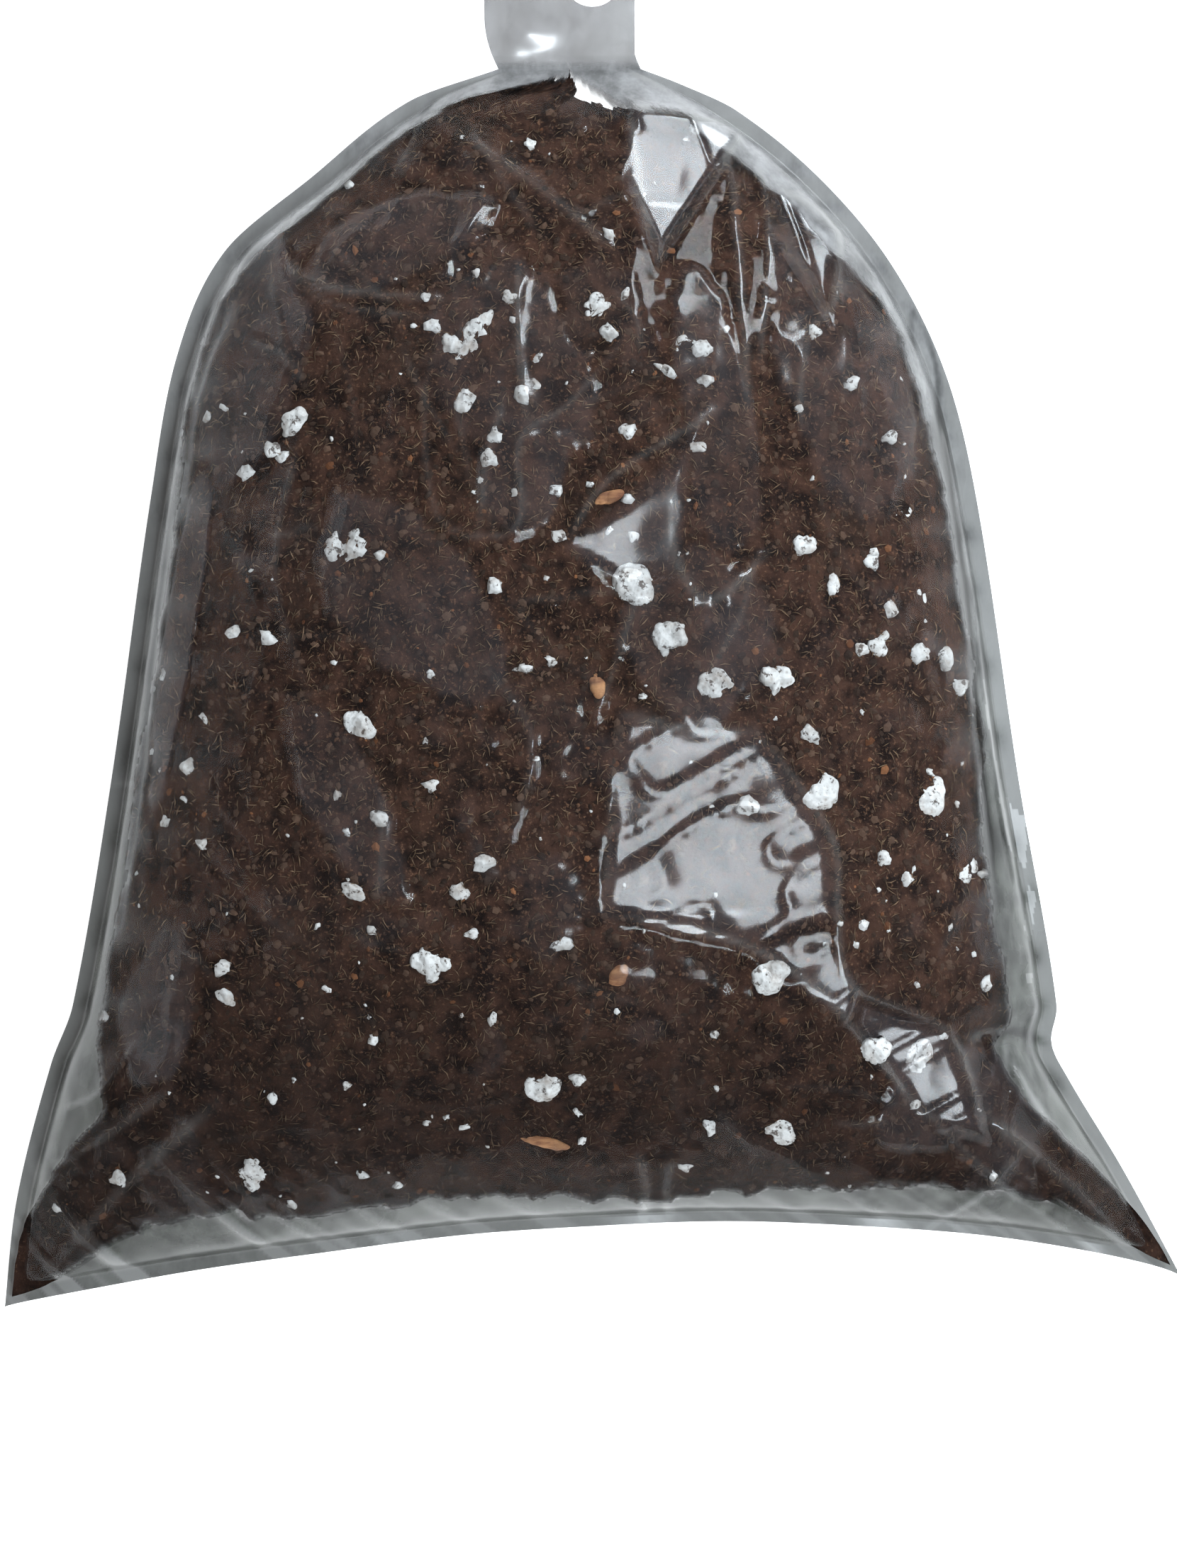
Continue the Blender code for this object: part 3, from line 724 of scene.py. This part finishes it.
def tab_points(shares, rows, side):
    """The tab's rows above the neck, slightly curled, from the neck up to its top."""
    ys = NECK_Y + (TAB_TOP - NECK_Y) * np.sin(np.linspace(0, math.pi / 2, rows + 1)[1:])
    y = np.repeat(ys, len(shares))
    across = np.tile(shares, rows)
    x, y = tab_plan(y, across)
    curl = 0.5 * np.sin((x - TAB_LEFT) / 25 * math.pi) * step_up(NECK_Y, NECK_Y + 8, y)
    dent = 0.9 * np.exp(-(((x + 12) / 3.5) ** 2 + ((y - 99) / 3.0) ** 2))
    ripple = 0.35 * smooth_noise(np.column_stack([x, y]), 5.0, 201)
    z = edge_height(np.ones(len(x)), across) + side * FILM + curl + dent + ripple * step_up(NECK_Y, NECK_Y + 3, y)
    return np.column_stack([x, y, z])


TAB_VALUES = {"standoff": 0.8, "rim": 0.6, "line": 0.0}
FACET_STANDOFF = 0.93  # only the flat facets stand off the mix more than this


def punch(points, quads):
    """Open the hanging hole in a layer's faces: faces inside it go, and the corners next to it move onto its rim."""
    away = np.hypot(points[:, 0] - HOLE_X, points[:, 1] - HOLE_Y)
    kept = quads[~(away[quads] < HOLE_RADIUS).any(axis=1)]
    dropped = quads[(away[quads] < HOLE_RADIUS).any(axis=1)]
    rim = np.intersect1d(kept.ravel(), dropped.ravel())
    moved = points.copy()
    scale = HOLE_RADIUS / away[rim]
    moved[rim, 0] = HOLE_X + (points[rim, 0] - HOLE_X) * scale
    moved[rim, 1] = HOLE_Y + (points[rim, 1] - HOLE_Y) * scale
    return moved, kept


def finish_film(piece, quads, values, tab_count, films):
    """Put the film's values on it, and the edge material on the faces clear of the mix."""
    for name, on_tab in TAB_VALUES.items():
        values[name] = np.concatenate([values[name], np.full(tab_count, on_tab)])
        add_values(piece, name, values[name])
    piece.data.materials.append(films[1])
    clear = (values["rim"][quads].mean(axis=1) > 0.5) & (values["standoff"][quads].mean(axis=1) < FACET_STANDOFF)
    clear |= quads.max(axis=1) > 0.975 * (len(values["rim"]) - tab_count)
    clear &= quads.max(axis=1) < len(values["rim"]) - tab_count
    piece.data.polygons.foreach_set("material_index", clear.astype(np.int32))


def make_front(films):
    body, values, shares, tab_rows = film_front()
    tab = tab_points(shares, tab_rows, 1)
    points = np.vstack([body, tab])
    quads = grid_faces(FRONT_ROWS, FRONT_COLUMNS)
    points, quads = punch(points, quads)
    piece = mesh_object("film_front", points, quads, films[0])
    finish_film(piece, quads, values, len(tab), films)
    return piece


def make_back(films):
    """The back film: pressed flat on the floor, creased where it lifts off, with its half of the weld and the tab."""
    tab_rows = round(BACK_ROWS * TAB_SHARE)
    body_rows = BACK_ROWS - tab_rows
    shares = row_shares(BACK_COLUMNS)
    height = np.repeat(row_shares(body_rows), BACK_COLUMNS)
    across = np.tile(shares, body_rows)
    x, y = body_plan(height, across)
    share = swell(height, across)
    free = step_up(0.0, 0.16, share) * (1 - step_up(0.955, 1.0, height))
    plan = np.column_stack([x, y])
    folds = 1.2 * (1 - np.abs(smooth_noise(plan, 22, 131))) ** 4 + 0.4 * (1 - np.abs(smooth_noise(plan, 8, 137))) ** 3
    z = edge_height(height, across) - FILM - BACK_DEPTH * share + (folds - 0.6) * free
    z = np.maximum(z, 0.02)
    points = np.vstack([np.column_stack([x, y, z]), tab_points(shares, tab_rows, -1)])
    quads = grid_faces(BACK_ROWS, BACK_COLUMNS, flip=True)
    points, quads = punch(points, quads)
    piece = mesh_object("film_back", points, quads, films[0])
    values = {"standoff": np.full(len(x), 0.3), "rim": rim_share(height, across), "line": np.zeros(len(x))}
    finish_film(piece, quads, values, tab_rows * BACK_COLUMNS, films)
    return piece


def soil_grid(rows, columns):
    """Shares over the fill, out to its ragged edge."""
    s, t = np.repeat(np.linspace(0, 1, rows), columns), np.tile(np.linspace(0, 1, columns), rows)
    low, top = fill_ends(t)
    height = low + (top - low) * s
    y = LEFT_EDGE[0][1] + (NECK_Y - LEFT_EDGE[0][1]) * height
    width = edge_x(RIGHT_EDGE, y) - edge_x(LEFT_EDGE, y)
    left, right = [np.minimum(side / width, 0.3) for side in fill_sides(y)]
    return height, left + (1 - left - right) * t


def make_soil(material):
    """The fill as one closed body: a crumbly front just under the film, and a pressed back."""
    rows, columns = SOIL_ROWS, SOIL_COLUMNS
    height, across = soil_grid(rows, columns)
    x, y, z, smooth, _, _ = front_film(height, across)
    spots = np.column_stack([x, y, smooth])
    low = edge_height(height, across)
    lumps = 0.5 + 0.5 * fractal(spots, 5.0, 401, octaves=3)
    crumbs = 0.5 + 0.5 * fractal(spots, 1.9, 419, octaves=2)
    front_z = np.minimum(z - 0.4, smooth + 0.5) - 0.4 - 1.9 * lumps - 1.3 * crumbs
    back_z = np.maximum(low - FILM - BACK_DEPTH * swell(height, across), 0.0) + 0.5 + 0.5 * lumps + 0.4 * crumbs
    front_z = np.maximum(front_z, back_z + 0.6)
    front = np.column_stack([x, y, front_z])
    back = np.column_stack([x, y, back_z])
    n = rows * columns
    faces = [grid_faces(rows, columns), grid_faces(rows, columns, flip=True) + n]
    index = np.arange(n).reshape(rows, columns)
    for line, flip in ((index[0], True), (index[-1], False), (index[:, 0], False), (index[:, -1], True)):
        quad = np.column_stack([line[:-1], line[1:], line[1:] + n, line[:-1] + n])
        faces.append(quad[:, ::-1] if flip == False else quad)
    piece = mesh_object("potting_mix", np.vstack([front, back]), np.vstack(faces), material)
    return piece


def icosphere(subdivisions):
    import bmesh
    bm = bmesh.new()
    bmesh.ops.create_icosphere(bm, subdivisions=subdivisions, radius=1.0)
    points = np.array([v.co[:] for v in bm.verts])
    faces = np.array([[v.index for v in f.verts] for f in bm.faces])
    bm.free()
    return points, faces


def on_surface(tree, count, rng, low, high, from_above=True, edge=None):
    """Random places on a mesh, with the outward direction there."""
    found = []
    start, way = (0.2, -1.0) if from_above else (-0.1, 1.0)
    while len(found) < count:
        spot = Vector((rng.uniform(low.x, high.x), rng.uniform(low.y, high.y), start))
        hit, normal, _, _ = tree.ray_cast(spot, Vector((0, 0, way)))
        if hit is not None:
            found.append((np.array(hit) / MM, np.array(normal)))
    return found


# Middle-sized perlite seen against the front film, between the coarse granules
PERLITE = (
    (-14.0, 52.4), (11.8, 40.3), (5.2, 53.0), (17.1, 27.5), (36.5, 47.0), (-17.1, 25.6), (34.5, 11.5),
    (54.0, -6.0), (61.0, -11.5), (58.2, -6.9), (29.0, -10.0), (35.5, -19.8), (47.7, -40.1), (65.1, -42.7),
    (-34.5, -33.2), (-17.7, -40.4), (-39.0, -45.2), (-19.8, -52.0), (-60.1, -62.8), (-52.8, -79.1),
    (-2.5, -76.0), (19.2, -84.1), (27.6, -60.5), (46.7, -72.3), (54.0, -73.0), (-66.8, -24.6),
    (-79.6, -93.5), (-56.6, -94.1), (-82.0, -66.5), (73.6, -75.0), (68.0, -49.8), (-52.6, 27.5), (39.0, 5.0),
    (2.6, 46.6), (-24.0, -57.0), (18.0, 44.0), (43.9, -5.4), (25.0, -31.0), (-23.5, 45.0), (49.0, 30.0),
)


def on_spot(tree, spot):
    """The place on the mix under a point of the plan, or nothing."""
    hit, normal, _, _ = tree.ray_cast(Vector((spot[0] * MM, spot[1] * MM, 0.2)), Vector((0, 0, -1)))
    return [] if hit is None else [(np.array(hit) / MM, np.array(normal))]


def turned(normal, angle):
    """Axes of a small piece lying on a surface: two along it and one out of it."""
    normal = normal / np.linalg.norm(normal)
    side = np.cross(normal, (math.cos(angle), math.sin(angle), 0.17))
    side /= np.linalg.norm(side)
    return np.array([side, np.cross(normal, side), normal])


def make_crumbs(name, places, sizes, flatness, sink, subdivisions, material, rng, jag=0.35):
    """Many small irregular crumbs in one mesh."""
    base, faces = icosphere(subdivisions)
    points, all_faces, shades = [], [], []
    for k, (spot, normal) in enumerate(places):
        size = rng.uniform(*sizes) if isinstance(sizes, tuple) else sizes(rng)
        half = np.array([size, size * rng.uniform(0.55, 1.0), size * flatness * rng.uniform(0.7, 1.2)]) / 2
        axes = turned(normal, rng.uniform(0, 2 * math.pi))
        bumpy = 1 - jag * np.array([rng.random() for _ in range(len(base))])[:, None]
        if subdivisions > 1:
            bumpy = bumpy * (1 + 0.5 * smooth_noise(base * 1.1 + 3.7 * k, 1.0, 811)[:, None])
        shape = (base * bumpy * half) @ axes
        centre = spot - axes[2] * half[2] * sink
        points.append(shape + centre)
        all_faces.append(faces + k * len(base))
        shades += [rng.random() ** 1.6] * len(base)
    piece = mesh_object(name, np.vstack(points), np.vstack(all_faces), material, smooth=subdivisions > 1)
    add_values(piece, "shade", shades)
    return piece


def make_fibres(name, places, lengths, widths, material, rng):
    """Short curved fibres lying on the mix: three-sided tapering tubes."""
    steps, sides = 3, 3
    points, faces, shades = [], [], []
    ring = [(math.cos(2 * math.pi * k / sides), math.sin(2 * math.pi * k / sides)) for k in range(sides)]
    for spot, normal in places:
        length, width = rng.uniform(*lengths), rng.uniform(*widths)
        axes = turned(normal, rng.uniform(0, 2 * math.pi))
        bend, lift = rng.uniform(-0.5, 0.5), rng.uniform(-0.25, 0.3)
        first = len(points)
        for i in range(steps):
            s = i / (steps - 1) - 0.5
            middle = spot + axes[0] * length * s + axes[1] * bend * length * (0.25 - s * s) + axes[2] * (
                0.12 + lift * (0.25 - s * s) * 2
            )
            taper = width / 2 * (1 - 0.75 * abs(2 * s) ** 2)
            points += [middle + (axes[1] * a + axes[2] * b) * taper for a, b in ring]
        for i in range(steps - 1):
            for k in range(sides):
                a, b = first + i * sides + k, first + i * sides + (k + 1) % sides
                faces.append((a, b, b + sides))
                faces.append((a, b + sides, a + sides))
        faces.append((first + 2, first + 1, first))
        top = first + (steps - 1) * sides
        faces.append((top, top + 1, top + 2))
        shades += [rng.random()] * (steps * sides)
    piece = mesh_object(name, np.array(points), np.array(faces), material)
    add_values(piece, "shade", shades)
    return piece


def granule(node, material, pits, seed):
    """A finer granule in the place of a CAD one: the same body, rounded, then pitted and roughened."""
    import bmesh
    bm = bmesh.new()
    bm.from_mesh(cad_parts[node].data)
    bmesh.ops.remove_doubles(bm, verts=bm.verts, dist=1e-6)
    bmesh.ops.recalc_face_normals(bm, faces=bm.faces)
    mesh = bpy.data.meshes.new(node)
    bm.to_mesh(mesh)
    bm.free()
    rough = bpy.data.objects.new(node + "_rough", mesh)
    bpy.context.scene.collection.objects.link(rough)
    finer = rough.modifiers.new("finer", "SUBSURF")
    finer.levels = finer.render_levels = 2
    made = rough.evaluated_get(bpy.context.evaluated_depsgraph_get()).to_mesh()
    points = np.array([v.co[:] for v in made.vertices]) / MM
    made.calc_loop_triangles()
    faces = np.array([t.vertices[:] for t in made.loop_triangles])
    normals = np.array([v.normal[:] for v in made.vertices])
    bpy.data.objects.remove(rough)
    middle = points.mean(axis=0)
    points = middle + (points - middle) * [1.15, 1.15, 1.0]
    dents = np.abs(smooth_noise(points, 1.5, seed)) ** 0.7
    coarse = smooth_noise(points, 2.4, seed + 5)
    broken = np.maximum(smooth_noise(points, 3.1, seed + 9) - 0.15, 0)
    points = points + normals * (pits * (dents - 0.3) + 0.8 * coarse * pits - 2.2 * broken * pits)[:, None]
    piece = mesh_object(node + "_piece", points, faces, material)
    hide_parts(node)
    return piece


# ---------------------------------------------------------------- camera, floor and lights

def make_camera():
    data = bpy.data.cameras.new("camera")
    data.sensor_fit = "AUTO"
    data.sensor_width = 36.0
    data.lens = 36.0 * (CAMERA_AWAY - EDGE_RISE) / VIEW_HEIGHT
    data.clip_start, data.clip_end = 0.05, 10.0
    camera = bpy.data.objects.new("camera", data)
    camera.location = Vector((VIEW_X, VIEW_Y, CAMERA_AWAY)) * MM
    bpy.context.scene.collection.objects.link(camera)
    bpy.context.scene.camera = camera


def softbox(name):
    """A rectangular light that faces the bag, its length pointing away from the zenith."""
    _, _, _, width, length, power = LAMPS[name]
    data = bpy.data.lights.new(name, "AREA")
    data.shape = "RECTANGLE"
    data.size, data.size_y = width * MM, length * MM
    data.energy = power
    data.color = (0.86, 0.94, 1.0)
    lamp = bpy.data.objects.new(name, data)
    lamp.location = lamp_point(name, 0.0) * MM
    out = (lamp_point(name, 0.0) - Vector(AIM)).normalized()
    down = (lamp_point(name, 0.5) - lamp_point(name, 0.0)).normalized()
    lamp.rotation_euler = Matrix((down.cross(out), down, out)).transposed().to_euler()
    bpy.context.scene.collection.objects.link(lamp)


def make_floor():
    n = Nodes("pale_floor")
    mottle = n.noise(4, 2, 0.5)
    n.finish(n.mix(mottle, (0.82, 0.82, 0.815), (0.86, 0.86, 0.855)), 0.9, Emission_Color=(1.0, 1.0, 1.0, 1.0),
             Emission_Strength=0.9)
    mesh = bpy.data.meshes.new("floor")
    half = 3.0
    mesh.from_pydata([(-half, -half, 0), (half, -half, 0), (half, half, 0), (-half, half, 0)], [], [(0, 1, 2, 3)])
    mesh.materials.append(n.material)
    floor = bpy.data.objects.new("floor", mesh)
    bpy.context.scene.collection.objects.link(floor)


def make_world():
    """A pale studio, darker overhead."""
    world = bpy.data.worlds.new("studio")
    world.use_nodes = True
    tree = world.node_tree
    place = tree.nodes.new("ShaderNodeTexCoord")
    split = tree.nodes.new("ShaderNodeSeparateXYZ")
    ramp = tree.nodes.new("ShaderNodeMapRange")
    for socket, value in zip(ramp.inputs[1:5], (0.2, 1.0, 0.42, 0.15)):
        socket.default_value = value
    tree.links.new(place.outputs["Generated"], split.inputs[0])
    tree.links.new(split.outputs["Z"], ramp.inputs["Value"])
    background = tree.nodes["Background"]
    background.inputs["Color"].default_value = (1.0, 0.98, 0.96, 1.0)
    tree.links.new(ramp.outputs["Result"], background.inputs["Strength"])
    bpy.context.scene.world = world


def main():
    bpy.context.scene.view_settings.view_transform = "Standard"
    rng = random.Random(7)
    films = [film_material("clear_film", IOR=1.75), film_material("clear_film_edge", IOR=1.75, Specular_IOR_Level=0.12)]
    peat = peat_material()
    perlite, bark = perlite_material(), bark_material()
    crumb = crumb_material("peat_crumbs", (0.006, 0.0033, 0.0026), (0.095, 0.056, 0.038), 0.9)
    fibre = crumb_material("coir_fibre", (0.02, 0.012, 0.007), (0.23, 0.150, 0.092), 0.75)
    rust = crumb_material("rust_crumbs", (0.06, 0.022, 0.010), (0.20, 0.085, 0.038), 0.8)

    front, back = make_front(films), make_back(films)
    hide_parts("film_bag")
    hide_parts("film_bag")
    soil = make_soil(peat)
    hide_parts("compost_fill")
    bpy.context.view_layer.update()
    tree = BVHTree.FromObject(soil, bpy.context.evaluated_depsgraph_get())
    low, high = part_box("compost_fill")
    made = {"clear_film": [front, back], "coco_peat": [soil], "perlite": [], "bark": []}
    for number, node in enumerate(sorted(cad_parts)):
        if node.startswith("perlite_granule"):
            made["perlite"].append(granule(node, perlite, 0.55, 500 + number))
        elif node.startswith("bark_chip"):
            made["bark"].append(granule(node, bark, 0.3, 700 + number))

    front_places = on_surface(tree, 18600, rng, low, high)
    back_places = on_surface(tree, 3600, rng, low, high, from_above=False)
    crumb_places = front_places[:8200] + back_places[:1400]
    fibre_places = front_places[8200:18400] + back_places[1400:]
    made["coco_peat"] += [
        make_crumbs("peat_crumbs", crumb_places, lambda r: 0.5 + 2.0 * r.random() ** 2.4, 0.6, 0.3, 1, crumb, rng),
        make_fibres("coir_fibres", fibre_places, (0.6, 2.4), (0.12, 0.25), fibre, rng),
    ]
    made["bark"].append(make_crumbs(
        "rust_crumbs", front_places[18400:], lambda r: 0.7 + 1.8 * r.random() ** 2, 0.5, 0.2, 1, rust, rng))
    medium = [place for spot in PERLITE for place in on_spot(tree, spot)]
    made["perlite"].append(make_crumbs(
        "medium_perlite", medium, lambda r: r.uniform(2.6, 4.4), 0.8, 0.1, 3, perlite, rng, 0.2))
    white = on_surface(tree, 190, rng, low, high) + on_surface(tree, 60, rng, low, high, from_above=False)
    made["perlite"].append(make_crumbs(
        "fine_perlite", white, lambda r: 0.7 + 3.4 * r.random() ** 2.6, 0.75, 0.15, 2, perlite, rng, 0.45))

    make_floor()
    make_world()
    for name in LAMPS:
        softbox(name)
    make_camera()


main()
